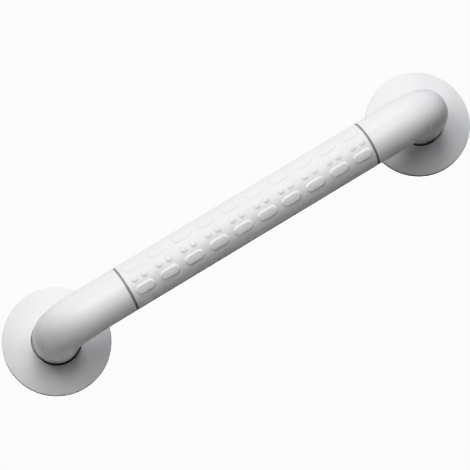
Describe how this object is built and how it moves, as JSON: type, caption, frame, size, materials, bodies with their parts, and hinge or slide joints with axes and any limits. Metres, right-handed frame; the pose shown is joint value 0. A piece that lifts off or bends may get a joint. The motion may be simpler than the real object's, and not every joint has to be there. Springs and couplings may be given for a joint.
{
  "type": "wall grab bar",
  "caption": "Short straight white grab bar with a pad-and-dot grip, smooth elbows and a domed round cover over each wall plate.",
  "frame": {"origin": "on the wall, midway between the two posts", "axes": "+X along the bar towards its right end, +Y up along the wall when the bar is level, +Z out from the wall"},
  "size_m": [0.3986, 0.0806, 0.0763],
  "materials": {
    "grip_white": "satin moulded plastic",
    "shell_white": "glossy moulded plastic",
    "cover_white": "glossy moulded plastic",
    "trim_grey": "matte grey",
    "tube_steel": "drawn stainless",
    "core_aluminium": "as cast",
    "plate_steel": "pressed stainless",
    "fixing_steel": "zinc plated",
    "gasket_rubber": "matte black"
  },
  "bodies": {
    "bar": {"grip_sleeve": "grip_white", "left_elbow_shell": "shell_white", "right_elbow_shell": "shell_white", "left_trim_ring": "trim_grey", "right_trim_ring": "trim_grey", "inner_tube": "tube_steel", "left_elbow_core": "core_aluminium", "right_elbow_core": "core_aluminium", "left_wall_plate": "plate_steel", "right_wall_plate": "plate_steel", "left_post_bolt": "fixing_steel", "right_post_bolt": "fixing_steel", "left_lock_washer": "fixing_steel", "right_lock_washer": "fixing_steel", "left_set_screw": "fixing_steel", "right_set_screw": "fixing_steel", "left_wall_gasket": "gasket_rubber", "right_wall_gasket": "gasket_rubber"},
    "left_cover": {"left_cover": "cover_white"},
    "right_cover": {"right_cover": "cover_white"}
  },
  "joints": [
    {"name": "left_cover_slide", "type": "slide", "parent": "bar", "child": "left_cover", "axis": [0, 0, 1], "range_m": [0, 0.018]},
    {"name": "right_cover_slide", "type": "slide", "parent": "bar", "child": "right_cover", "axis": [0, 0, 1], "range_m": [0, 0.018]}
  ]
}
